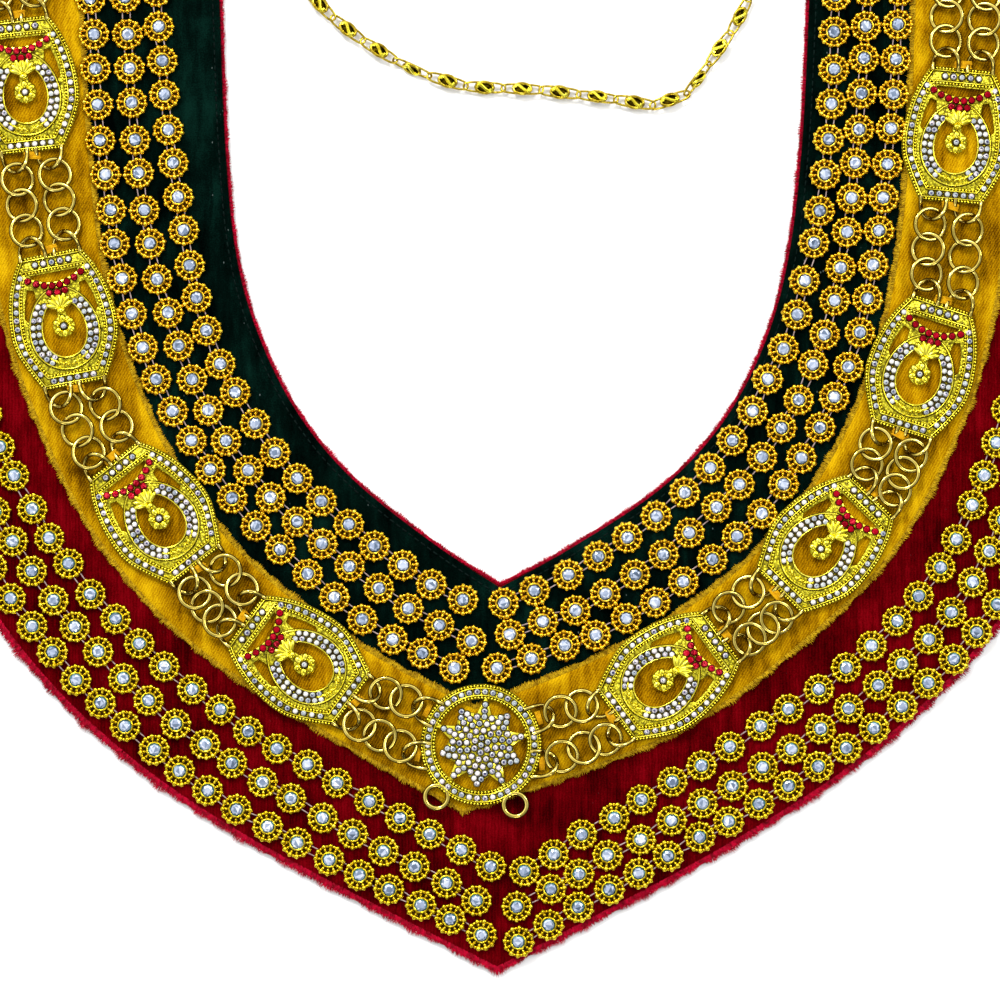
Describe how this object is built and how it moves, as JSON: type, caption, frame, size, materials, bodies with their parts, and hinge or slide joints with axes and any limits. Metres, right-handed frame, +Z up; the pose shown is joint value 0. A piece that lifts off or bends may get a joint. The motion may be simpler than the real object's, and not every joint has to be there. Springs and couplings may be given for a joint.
{
  "type": "ceremonial chain collar",
  "caption": "Flat V-fronted velvet collar in red, gold and green with strings of stone flowers, pierced gilt plaques on ring chains, a star medallion and a thin neck chain.",
  "frame": {"origin": "middle of the collar's outline, on the surface that it lies on", "axes": "+Z up through the collar as it lies on its back, +Y from the front point to the shoulder ends, +X to the picture's right"},
  "size_m": [0.4148, 0.3882, 0.0083],
  "materials": {
    "red_velvet": "short dense pile",
    "gold_velvet": "short dense pile, combed",
    "green_velvet": "short dense pile, nearly black",
    "stone_flowers": "gilt beaded settings with clear faceted stones",
    "cast_gold": "bright lemon gilt casting set with small stones",
    "ring_gold": "pale polished wire",
    "chain_gold": "polished scroll links"
  },
  "bodies": {
    "root": {"collar_base": "red_velvet", "gold_band": "gold_velvet", "green_band": "green_velvet", "flower_string_left_1": "stone_flowers", "flower_string_left_2": "stone_flowers", "flower_string_left_3": "stone_flowers", "flower_string_left_4": "stone_flowers", "flower_string_left_5": "stone_flowers", "flower_string_left_6": "stone_flowers", "flower_string_right_1": "stone_flowers", "flower_string_right_2": "stone_flowers", "flower_string_right_3": "stone_flowers", "flower_string_right_4": "stone_flowers", "flower_string_right_5": "stone_flowers", "flower_string_right_6": "stone_flowers", "plaque_left_1": "cast_gold", "plaque_left_2": "cast_gold", "plaque_left_3": "cast_gold", "plaque_left_4": "cast_gold", "plaque_left_5": "cast_gold", "plaque_right_1": "cast_gold", "plaque_right_2": "cast_gold", "plaque_right_3": "cast_gold", "plaque_right_4": "cast_gold", "plaque_right_5": "cast_gold", "star_medallion": "cast_gold", "link_strand_left_1_neck": "ring_gold", "link_strand_left_1_outer": "ring_gold", "link_strand_left_2_neck": "ring_gold", "link_strand_left_2_outer": "ring_gold", "link_strand_left_3_neck": "ring_gold", "link_strand_left_3_outer": "ring_gold", "link_strand_left_4_neck": "ring_gold", "link_strand_left_4_outer": "ring_gold", "link_strand_left_5_neck": "ring_gold", "link_strand_left_5_outer": "ring_gold", "link_strand_right_1_neck": "ring_gold", "link_strand_right_1_outer": "ring_gold", "link_strand_right_2_neck": "ring_gold", "link_strand_right_2_outer": "ring_gold", "link_strand_right_3_neck": "ring_gold", "link_strand_right_3_outer": "ring_gold", "link_strand_right_4_neck": "ring_gold", "link_strand_right_4_outer": "ring_gold", "link_strand_right_5_neck": "ring_gold", "link_strand_right_5_outer": "ring_gold", "neck_chain": "chain_gold", "neck_chain_ring_left": "ring_gold", "neck_chain_ring_right": "ring_gold"}
  },
  "joints": []
}
